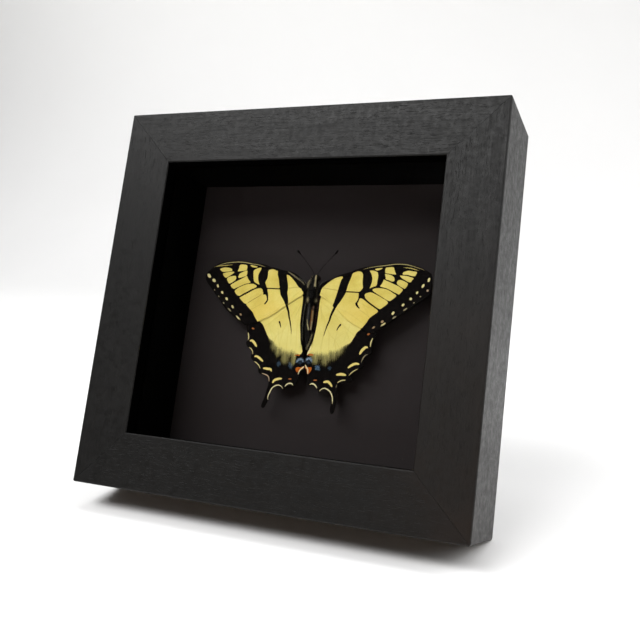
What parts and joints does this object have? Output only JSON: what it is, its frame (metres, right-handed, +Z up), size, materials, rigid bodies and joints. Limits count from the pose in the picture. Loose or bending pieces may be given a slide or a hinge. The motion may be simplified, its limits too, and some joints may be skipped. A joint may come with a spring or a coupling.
{
  "type": "framed butterfly specimen",
  "caption": "Yellow swallowtail butterfly with spread wings, mounted on dark paper behind glass in a deep black wooden box frame that leans back on a hinged easel strut.",
  "frame": {"origin": "centre of the part's bounding box, on the surface it stands on", "axes": "+X along the width of the frame, +Y away from the viewer of the front, +Z up"},
  "size_m": [0.178, 0.095, 0.1752],
  "materials": {
    "stained_wood": "black stained open grain, satin",
    "clear_glass": "clear polished",
    "black_card": "matt black",
    "mount_paper": "matt charcoal",
    "fibreboard": "black faced fibreboard",
    "plated_steel": "zinc plated",
    "wing_scales": "matt scales, yellow with black stripes",
    "insect_body": "black hair with pale yellow stripes",
    "antenna": "dark brown, satin",
    "foam_pad": "matt black foam"
  },
  "bodies": {
    "frame": {"rail_bottom": "stained_wood", "rail_left": "stained_wood", "rail_right": "stained_wood", "rail_top": "stained_wood", "glass_pane": "clear_glass", "spacer_bottom": "black_card", "spacer_left": "black_card", "spacer_right": "black_card", "spacer_top": "black_card", "mount_board": "mount_paper", "back_panel": "fibreboard", "tab_bottom": "plated_steel", "tab_left": "plated_steel", "tab_right": "plated_steel", "tab_top": "plated_steel", "hinge_plate": "plated_steel", "hinge_pin": "plated_steel", "panel_rivet_left": "plated_steel", "panel_rivet_right": "plated_steel", "insect_body": "insect_body", "forewing_left": "wing_scales", "forewing_right": "wing_scales", "hindwing_left": "wing_scales", "hindwing_right": "wing_scales", "antenna_left": "antenna", "antenna_right": "antenna", "mounting_pad": "foam_pad"},
    "strut": {"strut_board": "fibreboard", "strut_leaf": "plated_steel", "strut_rivet_left": "plated_steel", "strut_rivet_right": "plated_steel"}
  },
  "joints": [
    {"name": "easel_hinge", "type": "hinge", "parent": "frame", "child": "strut", "pos_m": [0, 0.02706, 0.10579], "axis": [1, 0, 0], "range_deg": [-27.9, 0]}
  ]
}
